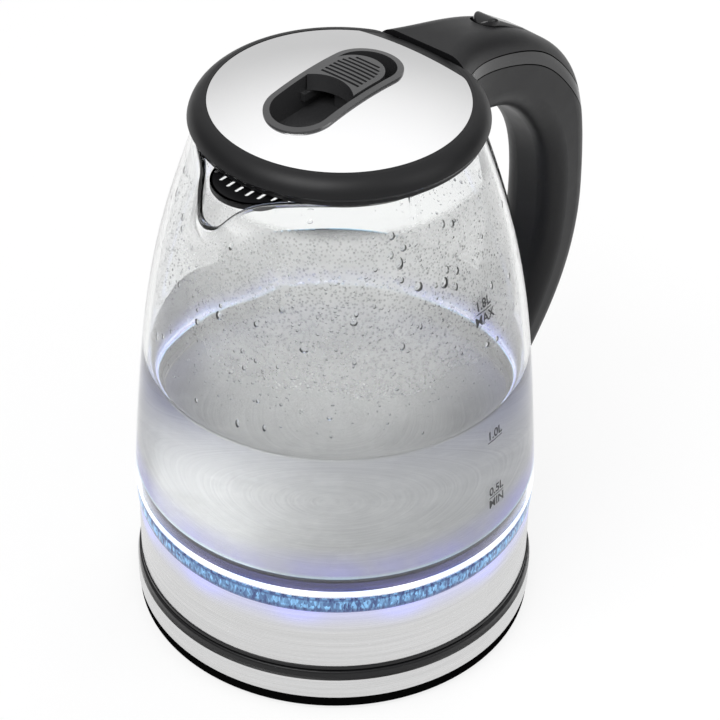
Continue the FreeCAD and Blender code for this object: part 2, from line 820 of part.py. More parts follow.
def lid_inner():
    z0 = lid_z - plug_depth
    body = cut_disc(plug_r, plug_chord, 4.0, z0, lid_z)
    inner = cut_disc(plug_r - plug_wall, plug_chord - plug_wall, 3.0, z0 + plug_wall, lid_z + 1)
    body = body.cut(inner)
    post_x = bolt_tail + spring_l + 2 * seat_gap
    low = bolt_top - bolt_t
    body = body.fuse(block(post_x, post_x + 2, -6, 6, z0 + plug_wall - 0.2, bolt_top + 1))
    port = block(-plug_r - 2, -plug_r + 6, -bolt_half - slide_gap, bolt_half + slide_gap, low - slide_gap,
                 bolt_top + slide_gap)
    return body.cut(port)


def lid_seal():
    z0 = lid_z - 2.0
    gap = 0.4
    body = cut_disc(neck_r - gap, neck_chord - gap, 4.0, z0, z0 + 1.2)
    return body.cut(cut_disc(plug_r + 0.05, plug_chord + 0.05, 4.0, z0 - 1, z0 + 4))


def latch_slider():
    body = obround(slider_front - 14, slider_rear, slider_half, rail_top + 0.2, crown_z + 6)
    body = body.common(dome(-slider_proud))
    scoop_x = slider_front + slider_scoop - slider_scoop_r
    body = body.cut(cylinder(slider_scoop_r, rail_top - 1, crown_z + 8, scoop_x))
    body = body.cut(block(slider_front - 20, slider_front, -20, 20, rail_top - 1, crown_z + 8))
    first = slider_front + slider_scoop + 0.6
    floor = dome(groove_d - slider_proud)
    for i in range(groove_count):
        x = first + i * groove_pitch
        half = slider_half - 2.2
        if x > slider_rear - slider_half:
            half = math.sqrt(slider_half ** 2 - (x + groove_w - slider_rear + slider_half) ** 2) - 2.2
        groove = block(x, x + groove_w, -half, half, rail_top, crown_z + 8)
        body = body.cut(groove.cut(floor))
    stem = block(stem_x, stem_x + stem_l, -stem_half, stem_half, bolt_top, rail_top + 0.4)
    return body.fuse(stem)


def latch_bolt():
    nose = -(neck_r + bolt_reach)
    low = bolt_top - bolt_t
    return upright(bolt_half, (nose, bolt_top), (bolt_tail, bolt_top), (bolt_tail, low), (nose + 2.0, low),
                   (nose, low + 1.6))


def latch_spring():
    start = V(bolt_tail + seat_gap + latch_wire / 2, 0, bolt_top - bolt_t / 2)
    return coil("latch_spring", start, ALONG_X, UP, latch_spring_r, latch_wire, 6, spring_l - latch_wire)


# Handle: stations from the lid round the grip and back to the jug's foot.
# Each has its outer point, its inner point and its half width.
def handle_stations():
    x = handle_x
    z = plate_z + 1.8
    reach = handle_reach
    low = jug_band_z
    foot = jug_r
    grip_in = reach - grip_t
    return [((x, z), (x, z - arm_h), root_half),
            ((x + 13, z - 1.2), (x + 11, z - arm_h - 2.2), grip_half + 2.6),
            ((x + 31, z - 5.6), (x + 28, z - arm_h - 7.0), grip_half + 0.3),
            ((x + 53, z - 15.6), (x + 42.2, z - arm_h - 12.0), grip_half),
            ((x + 72.0, z - 29.2), (x + 54.6, z - arm_h - 21.5), grip_half),
            ((reach - 10.7, z - 47.8), (grip_in - 9.6, z - arm_h - 33.0), grip_half),
            ((reach - 2.2, z - 75.8), (grip_in - 2.8, z - arm_h - 48.5), grip_half),
            ((reach, z - 103.8), (grip_in, z - arm_h - 71.0), grip_half),
            ((reach - 3.7, low + 75.0), (grip_in - 2.6, low + 81.0), grip_half),
            ((reach - 17.2, low + 47.4), (grip_in - 14.1, low + 57.0), grip_half),
            ((foot + 27.6, low + 21.9), (foot + 12.6, low + 37.9), grip_half),
            ((foot - 4.0, low + 4.0), (foot - 7.0, low + 4.0 + foot_root_h), grip_half)]


def handle_section(outer, inner, half, inset):
    # Rounded oblong square to the handle's run.
    o = V(outer[0], 0, outer[1])
    i = V(inner[0], 0, inner[1])
    centre = (o + i) * 0.5
    run = (o - i) * 0.5
    a = run.Length - inset
    b = half - inset
    r = handle_corner - inset
    out = run.normalize()
    edges = []
    ends = []
    for sa, sb in ((1, 1), (-1, 1), (-1, -1), (1, -1)):
        middle = centre + out * (sa * (a - r)) + ALONG_Y * (sb * (b - r))
        first = middle + out * (sa * r) if sa == sb else middle + ALONG_Y * (sb * r)
        last = middle + ALONG_Y * (sb * r) if sa == sb else middle + out * (sa * r)
        bow = out * (sa * r * math.sqrt(0.5)) + ALONG_Y * (sb * r * math.sqrt(0.5))
        ends.append((first, middle + bow, last))
    for n in range(4):
        first, bow, last = ends[n]
        edges.append(Part.Arc(first, bow, last).toShape())
        edges.append(Part.makeLine(last, ends[(n + 1) % 4][0]))
    return Part.Wire(edges)


def handle_solid():
    return Part.makeLoft([handle_section(o, i, h, 0) for o, i, h in handle_stations()], True, False)


def handle_hollow(inset):
    stations = handle_stations()[:-1]
    return Part.makeLoft([handle_section(o, i, h, inset) for o, i, h in stations], True, False)


def handle_seam(drop):
    # Everything above a seam that runs along the arm and over the back of the grip.
    z = plate_z + 1.8
    x = handle_x
    run = [(x - 10, z - 8.6), (x + 12, z - 9.8), (x + 39, z - 16.4), (x + 62.7, z - 28.0),
           (x + 77.7, z - 42.8), (x + 93, z - 64.5), (x + 112, z - 95)]
    lean = [0.0, 0.0, 0.15, 0.5, 0.8, 0.9, 0.9]
    taper = [1.0, 1.0, 1.0, 0.9, 0.75, 0.65, 0.65]
    points = []
    for (a, b), lay, share in zip(run, lean, taper):
        fall = drop * share
        points.append(V(a - fall * lay, -60, b - fall * math.sqrt(1 - lay ** 2)))
    curve = Part.BSplineCurve()
    curve.interpolate(points)
    high = crown_z + 40
    corners = [V(points[-1].x, -60, high), V(points[0].x, -60, high)]
    edges = [curve.toShape(), Part.makeLine(points[-1], corners[0]), Part.makeLine(corners[0], corners[1]),
             Part.makeLine(corners[1], points[0])]
    return Part.Face(Part.Wire(edges)).extrude(V(0, 120, 0))


def jug_envelope():
    # Room that the handle leaves round the glass, the collar and the foot.
    room = 0.4
    glass = glass_body(-room, glass_z, rim_z - 0.5)
    neck = cylinder(flange_r + room, rim_z - 1.5, collar_top + room)
    foot = cylinder(jug_r + seat_gap, foot_z - 5, light_z)
    light = cylinder(light_r + room + 0.2, light_z - 0.1, glass_z + 0.1)
    return glass.fuse([neck, foot, light])


def handle_pieces():
    solid = handle_solid().cut(jug_envelope())
    shell = solid.cut(handle_hollow(handle_wall))
    shell = shell.cut(wire_hole())
    shell = shell.cut(root_screw_holes(screw_r))
    above_cover = handle_seam(0.0)
    above_trim_top = handle_seam(seam_gap)
    above_trim_low = handle_seam(trim_h)
    above_body = handle_seam(trim_h + seam_gap)
    cover = shell.common(above_cover).cut(rocker_room())
    trim = shell.common(above_trim_low).cut(above_trim_top)
    body = shell.cut(above_body)
    return cover, trim, body


def handle_screws():
    screws = []
    for y in (-root_screw_y, root_screw_y):
        x = math.sqrt((wall_r - foot_wall) ** 2 - y ** 2)
        head = Part.makeCylinder(screw_head_r, 2.0, V(x - 2.3, y, root_screw_z), ALONG_X)
        shank = Part.makeCylinder(screw_r - 0.02, screw_l, V(x - 0.4, y, root_screw_z), ALONG_X)
        screws.append(head.fuse(shank))
    return group(screws)


# Rocker switch: laid out along the slope of the handle's top.
def slope_frame():
    # Point on the handle's crown under the rocker's middle, and the slope there.
    stations = handle_stations()
    outer = [V(o[0], 0, o[1]) for o, i, h in stations[:7]]
    curve = Part.BSplineCurve()
    curve.interpolate(outer)
    near = curve.parameter(V(rocker_x, 0, plate_z - 14))
    spot = curve.value(near)
    along = V(*curve.tangent(near)[0])
    return spot, math.degrees(math.atan2(-along.z, along.x))


def on_slope(shape):
    spot, slope = slope_frame()
    copy = shape.copy()
    copy.rotate(V(0, 0, 0), ALONG_Y, slope)
    copy.translate(spot)
    return copy


half_l = rocker_l / 2


def rocker_room():
    half = rocker_half + rocker_gap
    return on_slope(obround(-half_l - rocker_nose_gap, half_l + rocker_gap, half, -30, 40))


def rocker_form():
    # Side outline of the rocker: a nose that stands up, a long slope and a tail that follows the handle.
    high = rocker_rise
    end = tail_rise - (half_l - waist_x) * math.tan(math.radians(tail_tilt))
    return upright(rocker_half + 1, (-half_l, -rocker_depth), (-half_l, high - 3.4),
                   ((-half_l + 0.3 * nose_l, high - 0.5), (-half_l + nose_l, high)), (waist_x, tail_rise),
                   (half_l, end), (half_l, -rocker_depth))


def lens_plan(grow, low, high):
    # Lens outline on the tail's slope, between two depths from its surface.
    end = half_l - 1.3
    plan = obround(end - lens_l - grow, end + grow, lens_half + grow, low, high)
    plan.rotate(V(waist_x, 0, 0), ALONG_Y, tail_tilt)
    plan.translate(V(0, 0, tail_rise))
    return plan


def upper_edge(edge):
    # Edges round the rocker's top, left of the tail's flat.
    box = edge.BoundBox
    return box.ZMin > -rocker_depth + 0.5 and box.XMax < waist_x + 0.5 and box.XLength > 1.0


def switch_rocker():
    body = rocker_form().common(obround(-half_l, half_l, rocker_half, -rocker_depth, 20))
    body = body.makeFillet(rocker_round, [e for e in body.Edges if upper_edge(e)])
    hub = cross_rod(hub_r, rocker_half, 0, -switch_pin_depth)
    web = block(-hub_r, hub_r, -rocker_half, rocker_half, -switch_pin_depth, -rocker_depth + 1)
    body = body.fuse([hub, web])
    body = body.cut(lens_plan(seat_gap, -lens_t, 20))
    body = body.cut(cross_rod(switch_pin_r + run_gap, rocker_half + 1, 0, -switch_pin_depth))
    return on_slope(body)


def switch_lens():
    return on_slope(lens_plan(0, -lens_t, 0))


def switch_pin():
    return on_slope(cross_rod(switch_pin_r, ear_y + ear_w, 0, -switch_pin_depth))


ear_y = rocker_half + rocker_gap


def steam_switch():
    # Body below the rocker, with an ear at each side for its pin, shaped to the inside of the handle.
    top = -switch_pin_depth - hub_r - 4.0
    half = ear_y + ear_w
    wide = grip_half - handle_wall - 1.0
    body = block(-switch_l / 2, switch_l / 2, -wide, wide, top - switch_h, top)
    for y0 in (-half, ear_y):
        ear = block(-hub_r, hub_r, y0, y0 + ear_w, top - 1, -switch_pin_depth)
        knob = Part.makeCylinder(hub_r, ear_w, V(0, y0, -switch_pin_depth), ALONG_Y)
        body = body.fuse([ear, knob])
    body = body.fuse(cylinder(1.6, top - 1, -rocker_depth - 2.0, -9))
    body = body.cut(cross_rod(switch_pin_r + 0.02, half + 1, 0, -switch_pin_depth))
    return on_slope(body).common(handle_hollow(handle_wall + slide_gap))


def steam_bimetal():
    z = -switch_pin_depth - hub_r - 4.0 - switch_h / 2
    disc = Part.makeCylinder(7.0, 0.6, V(-switch_l / 2 - 0.7, 0, z), ALONG_X)
    return on_slope(disc)


def switch_wires():
    route = [V(x, 0, z) for x, z in wire_points]
    spot, slope = slope_frame()
    end = Part.Vertex(switch_l / 2 + 0.3, 0, -switch_pin_depth - hub_r - 4.0 - switch_h / 2)
    end.rotate(V(0, 0, 0), ALONG_Y, slope)
    end.translate(spot)
    return tube("switch_wires", route + [end.Point], wire_r)


def main():
    os.makedirs("parts", exist_ok=True)
    for make in (base_shell, base_band, base_cover, base_screws, base_foot_ring, base_coupler,
                 coupler_contacts, contact_shutter, shutter_spring, jug_floor, jug_band, light_ring,
                 led_board, leds, heating_plate, glass_seal, diffuser_plate, heating_element,
                 kettle_control, bimetal_discs, control_contacts, glass_jug, neck_collar, collar_seal,
                 spout_filter, hinge_pin, lid_shell, lid_plate, lid_bezel, lid_inner, lid_seal,
                 latch_slider, latch_bolt, latch_spring, handle_screws, switch_rocker, switch_lens,
                 switch_pin, steam_switch, steam_bimetal, switch_wires):
        save(make.__name__, make())
    for name, piece in zip(("handle_cover", "handle_trim", "handle_body"), handle_pieces()):
        save(name, piece)


main()
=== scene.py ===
import json
import math
import bpy
import numpy as np
from mathutils import Matrix, Vector


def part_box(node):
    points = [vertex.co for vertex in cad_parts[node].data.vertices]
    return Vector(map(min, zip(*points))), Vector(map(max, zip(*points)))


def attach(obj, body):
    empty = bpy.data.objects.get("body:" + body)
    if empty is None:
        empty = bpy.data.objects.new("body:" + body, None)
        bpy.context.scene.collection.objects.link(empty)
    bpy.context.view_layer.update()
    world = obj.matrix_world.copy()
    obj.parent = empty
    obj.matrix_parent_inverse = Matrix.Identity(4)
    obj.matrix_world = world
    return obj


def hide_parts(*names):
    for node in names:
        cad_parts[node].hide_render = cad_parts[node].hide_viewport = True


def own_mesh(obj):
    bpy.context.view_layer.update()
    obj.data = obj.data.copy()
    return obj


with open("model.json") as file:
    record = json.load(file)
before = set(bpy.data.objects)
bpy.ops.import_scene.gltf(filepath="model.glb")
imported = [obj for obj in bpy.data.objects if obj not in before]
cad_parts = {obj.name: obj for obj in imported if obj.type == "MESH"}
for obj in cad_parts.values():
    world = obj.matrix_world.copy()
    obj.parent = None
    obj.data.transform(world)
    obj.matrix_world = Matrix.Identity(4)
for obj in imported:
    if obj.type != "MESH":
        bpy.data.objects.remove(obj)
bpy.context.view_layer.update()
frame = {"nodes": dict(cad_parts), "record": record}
nodes = frame["nodes"]
scene = bpy.context.scene
scene.view_settings.view_transform = "Standard"
mm = 0.001
print("frame", len(nodes), "nodes")

camSpec = dict(place=(-603.8, -506.7, 729.5), right=(0.64311, -0.76563, 0.01544),
               up=(0.46504, 0.40648, 0.78646), lens=129.4)
camData = bpy.data.cameras.new("photoCamera")
camData.lens = camSpec["lens"]
camData.sensor_width = 36
camera = bpy.data.objects.new("photoCamera", camData)
scene.collection.objects.link(camera)
right = Vector(camSpec["right"]).normalized()
up = Vector(camSpec["up"]).normalized()
turn = Matrix((right, up, right.cross(up))).transposed().to_4x4()
camera.matrix_world = Matrix.Translation(Vector(camSpec["place"]) * mm) @ turn
scene.camera = camera
print("camera")


class Wire:
    # a socket in a node tree, with sums written as ordinary sums
    def __init__(self, tree, socket):
        self.tree = tree
        self.socket = socket

    def add(self, kind, settings, sockets, output=0):
        node = self.tree.nodes.new(kind)
        for key, value in settings.items():
            setattr(node, key, value)
        for key, value in sockets.items():
            if isinstance(value, Wire):
                self.tree.links.new(value.socket, node.inputs[key])
            else:
                node.inputs[key].default_value = value
        return Wire(self.tree, node.outputs[output])

    def math(self, operation, other=0.0, third=0.0):
        return self.add("ShaderNodeMath", {"operation": operation}, {0: self, 1: other, 2: third})

    def __add__(self, other):
        return self.math("ADD", other)

    def __radd__(self, other):
        return self.math("ADD", other)

    def __sub__(self, other):
        return self.math("SUBTRACT", other)

    def __rsub__(self, other):
        return (self * -1.0) + other

    def __mul__(self, other):
        return self.math("MULTIPLY", other)

    def __rmul__(self, other):
        return self.math("MULTIPLY", other)

    def __truediv__(self, other):
        return self.math("DIVIDE", other)

    def __pow__(self, other):
        return self.math("POWER", other)

    def clip(self):
        return self.add("ShaderNodeMath", {"operation": "ADD", "use_clamp": True}, {0: self, 1: 0.0})

    def ramp(self, low, high):
        # 0 below low, 1 above high, eased between
        return self.add("ShaderNodeMapRange", {"interpolation_type": "SMOOTHSTEP"},
                        {"Value": self, "From Min": low, "From Max": high})

    def tint(self, dark, light):
        return self.add("ShaderNodeMix", {"data_type": "RGBA"},
                        {0: self, 6: (*dark, 1), 7: (*light, 1)}, 2)

    def part(self, index):
        return self.add("ShaderNodeSeparateXYZ", {}, {0: self}, index)

    def noise(self, scale, detail=3.0, rough=0.5):
        return self.add("ShaderNodeTexNoise", {}, {"Vector": self, "Scale": scale, "Detail": detail,
                                                   "Roughness": rough})

    def cells(self, scale, output=0):
        return self.add("ShaderNodeTexVoronoi", {}, {"Vector": self, "Scale": scale}, output)


def material(name, fixed, varying=None):
    # fixed holds plain socket values; varying is given the object coordinates and returns links
    made = bpy.data.materials.new(name)
    made.use_nodes = True
    tree = made.node_tree
    shader = next(n for n in tree.nodes if n.type == "BSDF_PRINCIPLED")
    for key, value in fixed.items():
        shader.inputs[key].default_value = (*value, 1) if isinstance(value, tuple) else value
    if varying:
        spot = tree.nodes.new("ShaderNodeTexCoord")
        links = varying(Wire(tree, spot.outputs["Object"]))
        for key, wire in links.items():
            tree.links.new(wire.socket, shader.inputs[key])
    return made


def bumped(height, strength, distance):
    return height.add("ShaderNodeBump", {}, {"Height": height, "Strength": strength, "Distance": distance})


def polar(p):
    # angle about the jug's axis and distance from it
    x, y = p.part(0), p.part(1)
    return x.math("ARCTAN2", y), (x * x + y * y) ** 0.5


def along(p, a, b, c):
    return p.add("ShaderNodeCombineXYZ", {}, {0: a, 1: b, 2: c})


lightRing = dict(low=50.8, tall=7.8, lamps=12.0, beads=96.0, dots=110.0, spill=13.8)


def byLamps(angle):
    # 1 in front of each lamp of the ring, 0 half way to the next
    return (angle * lightRing["lamps"]).math("COSINE") * 0.5 + 0.5


def moulded(name, dark, light, rough, grain, lift, sheen=0.0, mirror=0.22):
    # moulded plastic: fine grain, faint colour drift, handling marks in the gloss
    def vary(p):
        drift = p.noise(28.0, 3.0)
        fine = p.noise(grain, 2.0, 0.6)
        marks = p.noise(95.0, 4.0, 0.65)
        return {"Base Color": (drift * 0.6 + fine * 0.4).tint(dark, light),
                "Roughness": (marks - 0.5) * 0.18 + rough,
                "Normal": bumped(fine, lift, 0.0002)}
    return material(name, {"Specular IOR Level": mirror, "Coat Weight": sheen, "Coat Roughness": 0.2}, vary)


def brushed(name, dark, light, rough):
    # steel brushed round the axis: long thin streaks that differ by height
    def vary(p):
        angle, reach = polar(p)
        z = p.part(2)
        fine = along(p, angle * 1.6, z * 5200.0, reach * 3.0).noise(1.0, 3.0, 0.7)
        broad = along(p, angle * 0.8, z * 620.0, reach * 3.0).noise(1.0, 2.0)
        streak = fine * 0.65 + broad * 0.35
        edge = z.ramp((lightRing["low"] - lightRing["spill"]) * mm, lightRing["low"] * mm)
        spill = edge ** 2.0 * (byLamps(angle) ** 2.0 * 0.6 + 0.4)  # lamp light on the band under the ring
        return {"Base Color": streak.ramp(0.25, 0.8).tint(dark, light),
                "Roughness": (streak - 0.5) * 0.22 + rough,
                "Emission Color": spill.tint((0, 0, 0), (0.02, 0.05, 0.8)),
                "Normal": bumped(fine, 0.12, 0.0001)}
    return material(name, {"Metallic": 1.0, "Anisotropic": 0.5, "Emission Strength": 0.7}, vary)


def polishedPlate(p):
    angle, reach = polar(p)
    fine = along(p, angle * 2.0, reach * 2600.0, 0.0).noise(1.0, 2.0, 0.6)
    smear = p.noise(26.0, 4.0, 0.6)
    return {"Base Color": (smear * 0.6 + fine * 0.4).tint((0.88, 0.88, 0.89), (0.97, 0.97, 0.97)),
            "Roughness": smear.ramp(0.35, 0.75) * 0.08 + fine * 0.03 + 0.05}


def lathePlate(p):
    angle, reach = polar(p)
    rings = along(p, angle * 0.6, reach * 1500.0, 0.0).noise(1.0, 3.0, 0.6)
    mark = p.noise(60.0, 5.0, 0.7).ramp(0.4, 0.75)
    flat = 1.0 - reach.ramp(0.0745, 0.0758)
    # beyond the flat top the upstand's colour drops to dark navy: painted reflection of the dark surroundings and
    # the ring's blue light
    tone = (rings * 0.35 + mark * 0.15 + 0.42) * (flat * 0.92 + 0.08)
    return {"Base Color": tone.tint((0.0, 0.003, 0.03), (0.92, 0.92, 0.9)),
            "Roughness": flat * (mark * 0.08 + 0.34) + rings * 0.1 + 0.1,
            "Normal": bumped(rings * 0.8 + mark * 0.2, 0.08, 0.0002)}


def litGuide(p):
    # a row of bright beads, a dotted line over them and a navy edge below
    angle, reach = polar(p)
    up = (p.part(2) - lightRing["low"] * mm) / (lightRing["tall"] * mm)
    beads = (angle * lightRing["beads"] + up * 2.0).math("COSINE") * 0.5 + 0.5
    chance = along(p, angle * 105.0, up * 4.0, 0.0).cells(1.0, 1).part(0)
    row = up.ramp(0.2, 0.4) * (1.0 - up.ramp(0.74, 0.84))
    dots = up.ramp(0.86, 0.92) * (angle * lightRing["dots"]).math("COSINE").ramp(0.0, 0.6)
    glow = row * (beads * 0.22 + chance ** 2.0 * 0.6 + byLamps(angle) * 0.1) + dots * 0.45
    return {"Emission Color": glow.clip().tint((0.002, 0.008, 0.09), (0.26, 0.62, 1.0)),
            "Base Color": chance.tint((0.01, 0.02, 0.08), (0.1, 0.2, 0.34)),
            "Normal": bumped(beads * chance, 0.5, 0.0006)}


def paintedSealReflection(p):
    angle, reach = polar(p)
    streak = along(p, angle * 3.0, p.part(2) * 300.0, 0.0).noise(1.0, 3.0)
    # the navy-violet streaks are painted reflection of the ring's blue light on the dark band under the glass
    return {"Base Color": streak.tint((0.012, 0.012, 0.06), (0.09, 0.085, 0.28)),
            "Roughness": streak * 0.15 + 0.1}


def sealRubber(p):
    dust = p.noise(400.0, 3.0)
    return {"Base Color": dust.tint((0.42, 0.42, 0.42), (0.55, 0.55, 0.55)), "Roughness": dust * 0.2 + 0.5}


def wovenSleeve(p):
    angle = p.part(1).math("ARCTAN2", p.part(2))
    weave = (angle * 8.0 + p.part(2) * 900.0).math("SINE") * (angle * 8.0 - p.part(2) * 900.0).math("SINE")
    return {"Base Color": (weave * 0.5 + 0.5).tint((0.3, 0.3, 0.29), (0.62, 0.61, 0.58)),
            "Normal": bumped(weave, 0.4, 0.0003)}


def drawnMetal(name, dark, light, rough):
    def vary(p):
        pull = p.noise(300.0, 3.0, 0.6)
        return {"Base Color": pull.tint(dark, light), "Roughness": pull * 0.2 + rough}
    return material(name, {"Metallic": 1.0}, vary)


def clearLens(p):
    # silver rim round a smoked window: an ellipse about the middle of the lens
    low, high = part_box("switch_lens")
    away = [(p.part(i) - 0.5 * (low[i] + high[i])) / (0.5 * (high[i] - low[i])) for i in (0, 1)]
    rim = (away[0] * away[0] + away[1] * away[1]).ramp(0.44, 0.54)
    mark = p.noise(240.0, 3.0)
    return {"Base Color": (rim * 0.8 + mark * 0.2).tint((0.03, 0.032, 0.036), (0.8, 0.8, 0.82)),
            "Metallic": rim, "Roughness": mark * 0.1 + 0.1}


looks = {
    "black_plastic": moulded("satinBlack", (0.004, 0.004, 0.0045), (0.01, 0.01, 0.011), 0.34, 1800.0, 0.10),
    "soft_black": moulded("softBlack", (0.005, 0.005, 0.0055), (0.012, 0.012, 0.013), 0.40, 2300.0, 0.16),
    "gloss_black": moulded("glossBlack", (0.003, 0.003, 0.0035), (0.008, 0.008, 0.009), 0.22, 1500.0, 0.05,
                           0.35),
    "control_plastic": moulded("naturalPlastic", (0.62, 0.6, 0.54), (0.76, 0.74, 0.69), 0.45, 1500.0, 0.1),
    "board": moulded("whiteBoard", (0.62, 0.64, 0.63), (0.78, 0.79, 0.78), 0.4, 900.0, 0.08),
    "led_lens": moulded("lampLens", (0.45, 0.55, 0.9), (0.6, 0.7, 1.0), 0.2, 900.0, 0.02, 0.4),
    "rubber": moulded("footRubber", (0.02, 0.02, 0.02), (0.04, 0.04, 0.04), 0.75, 1300.0, 0.3),
    "brushed_steel": brushed("brushedSteel", (0.57, 0.57, 0.57), (0.74, 0.74, 0.74), 0.27),
    "polished_steel": material("polishedSteel", {"Metallic": 1.0}, polishedPlate),
    "plate_steel": material("latheSteel", {"Metallic": 1.0}, lathePlate),
    "light_guide": material("lightGuide", {"Roughness": 0.12, "Emission Strength": 0.8, "Coat Weight": 0.3},
                            litGuide),
    "seal_clear": material("sealRubber", {}, sealRubber),
    "wire_sleeve": material("wovenSleeve", {"Roughness": 0.8}, wovenSleeve),
    "switch_window": material("switchWindow", {"Coat Weight": 0.8}, clearLens),
    "screw_steel": drawnMetal("platedSteel", (0.5, 0.5, 0.52), (0.72, 0.72, 0.74), 0.18),
    "contact_brass": drawnMetal("contactBrass", (0.55, 0.4, 0.16), (0.8, 0.62, 0.32), 0.2),
    "cast_aluminium": drawnMetal("rolledAluminium", (0.6, 0.6, 0.6), (0.78, 0.78, 0.78), 0.3),
    "element_sheath": drawnMetal("drawnSheath", (0.42, 0.42, 0.42), (0.6, 0.6, 0.6), 0.34),
    "bimetal": drawnMetal("bimetalStrip", (0.5, 0.48, 0.4), (0.68, 0.65, 0.56), 0.28),
}
sealWithPaintedReflection = material("sealWithPaintedReflection", {"Metallic": 0.7}, paintedSealReflection)
# darker than the other black plastics: painted shade on the base; its lack of gloss is the real matte finish
dullShadedBlack = moulded("dullShadedBlack", (0.001, 0.001, 0.001), (0.003, 0.003, 0.003), 0.6, 1600.0, 0.12, 0.0, 0.0)
# lighter than the gloss black: the lift in colour is a painted highlight on the bezel and slider, under a real coat
cupLitBlack = moulded("cupLitBlack", (0.02, 0.02, 0.021), (0.045, 0.045, 0.047), 0.24, 1500.0, 0.06, 0.6, 0.4)
ownLooks = {"base_shell": dullShadedBlack, "glass_seal": sealWithPaintedReflection, "lid_bezel": cupLitBlack, "latch_slider": cupLitBlack}
for entry in frame["record"]["subparts"]:
    look = ownLooks.get(entry["node"], looks.get(entry["material_slot"]))
    if look:
        nodes[entry["node"]].data.materials.clear()
        nodes[entry["node"]].data.materials.append(look)
print("materials", len(looks))


def mesh(name, points, faces, look, body):
    data = bpy.data.meshes.new(name)
    data.from_pydata(np.asarray(points, float).reshape(-1, 3).tolist(), [], faces)
    data.polygons.foreach_set("use_smooth", [True] * len(data.polygons))
    data.materials.append(look)
    data.update()
    piece = bpy.data.objects.new(name, data)
    scene.collection.objects.link(piece)
    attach(piece, body)
    return piece


def gridFaces(rows, columns, wrapRows, wrapColumns):
    # quads over a grid whose rows and columns may close on themselves
    r = np.arange(rows if wrapRows else rows - 1)
    c = np.arange(columns if wrapColumns else columns - 1)
    a, b = np.meshgrid(r, c, indexing="ij")
    a2, b2 = (a + 1) % rows, (b + 1) % columns
    quads = np.stack([a * columns + b, a * columns + b2, a2 * columns + b2, a2 * columns + b], -1)
    return quads.reshape(-1, 4).tolist()


def smoothMax(a, b, k):
    # larger of two lengths, with the crease between them filled over k
    h = np.clip(0.5 + 0.5 * (a - b) / k, 0, 1)
    return b + (a - b) * h + k * h * (1 - h)


jug = dict(low=58.6, high=220.0, footR=79.4, neckR=51.7, wall=2.4,
           heights=(0, 0.226, 0.473, 0.721, 0.845, 1), shares=(1, 0.917, 0.773, 0.502, 0.296, 0),
           tipHeights=(172, 186, 198, 209, 222), tips=(60.5, 63.8, 66.9, 70.7, 72.6),
           tipR=8.0, halfAngle=37.0, blend=9.0, dropX=-58.5, drop=13.0, turns=420, levels=90)
jugFit = np.polyfit(jug["heights"], jug["shares"], 5)
noseFit = np.polyfit(jug["tipHeights"], jug["tips"], 3)


def bodyRadius(z):
    # the profile's share of the step from neck to foot, by height
    share = np.polyval(jugFit, (np.asarray(z, float) - jug["low"]) / (jug["high"] - jug["low"]))
    return jug["neckR"] + (jug["footR"] - jug["neckR"]) * share


def glassRadius(angle, z):
    # body radius joined to a round-tipped wedge that points along -X
    lean = math.radians(jug["halfAngle"])
    off = np.abs((angle + math.pi) % (2 * math.pi) - math.pi)
    tipR = jug["tipR"] + np.clip(214 - z, 0, 40) * 0.9
    centre = np.polyval(noseFit, np.clip(z, 172, 222)) - tipR
    apex = centre + tipR / math.sin(lean)
    edge = np.arctan2(tipR * math.cos(lean), centre + tipR * math.sin(lean))
    side = apex * math.sin(lean) / np.sin(np.clip(off + lean, lean, math.pi - 0.2))
    inside = np.clip(tipR ** 2 - (centre * np.sin(np.minimum(off, edge))) ** 2, 0, None)
    tip = centre * np.cos(off) + np.sqrt(inside)
    nose = np.where(off < edge, tip, side)
    nose = np.where((off < 1.2) & (z > 160), nose, 0)
    return smoothMax(nose, bodyRadius(z), jug["blend"])


def rimHeight(angle):
    # flat rim, drooping over the spout along a quarter circle; repeated halving settles radius and height
    z = np.full_like(angle, jug["high"])
    for step in range(12):
        r = glassRadius(angle, z)
        x, y = -r * np.cos(angle), r * np.sin(angle)
        fall = np.clip(jug["dropX"] - x, 0, jug["drop"] - 0.05)
        droop = jug["drop"] - np.sqrt(jug["drop"] ** 2 - fall ** 2)
        z = 0.5 * z + 0.5 * (jug["high"] - np.clip(droop, 0, 11.5))
    return z


def glassSurface(inset, angle, share, top):
    # wall by angle and share of the height under the rim, moved in by inset
    z = jug["low"] + (top - jug["low"]) * share
    r = glassRadius(angle, z) - inset
    return np.stack([-r * np.cos(angle), -r * np.sin(angle), z], -1)


def glassLoop():
    # outer wall, half-round rim, inner wall and half-round foot, ring after ring
    angle = np.tile(np.linspace(0, 2 * math.pi, jug["turns"], endpoint=False), (jug["levels"], 1))
    top = rimHeight(angle[:1])
    share = np.linspace(0.003, 0.997, jug["levels"])[:, None]
    outer = glassSurface(0, angle, share, top)
    inner = glassSurface(jug["wall"], angle, share, top)
    middle, half = 0.5 * (outer + inner), 0.5 * (outer - inner)
    bow = np.linspace(0, math.pi, 9)[1:-1, None, None]
    upward = np.array([0, 0, 1.0])
    rim = middle[-1] + half[-1] * np.cos(bow) + 0.5 * upward * np.sin(bow)
    foot = middle[0] - half[0] * np.cos(bow) - 0.45 * upward * np.sin(bow)
    return np.concatenate([outer, rim, inner[::-1], foot]) * mm


def glassTint(p):
    return {"Roughness": p.noise(30.0, 3.0).ramp(0.45, 0.8) * 0.015}


clearGlass = material("clearGlass", {"Base Color": (0.985, 0.993, 0.99), "Transmission Weight": 1.0, "IOR": 1.46},
                      glassTint)
loop = glassLoop()
glassPiece = mesh("glassBody", loop, gridFaces(len(loop), jug["turns"], True, True), clearGlass, "jug")
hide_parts("glass_jug")
print("glass", len(loop) * jug["turns"])


def stillWater(p):
    swell = p.noise(55.0, 2.0)
    return {"Roughness": swell.ramp(0.4, 0.8) * 0.012, "Normal": bumped(swell, 0.05, 0.0006)}


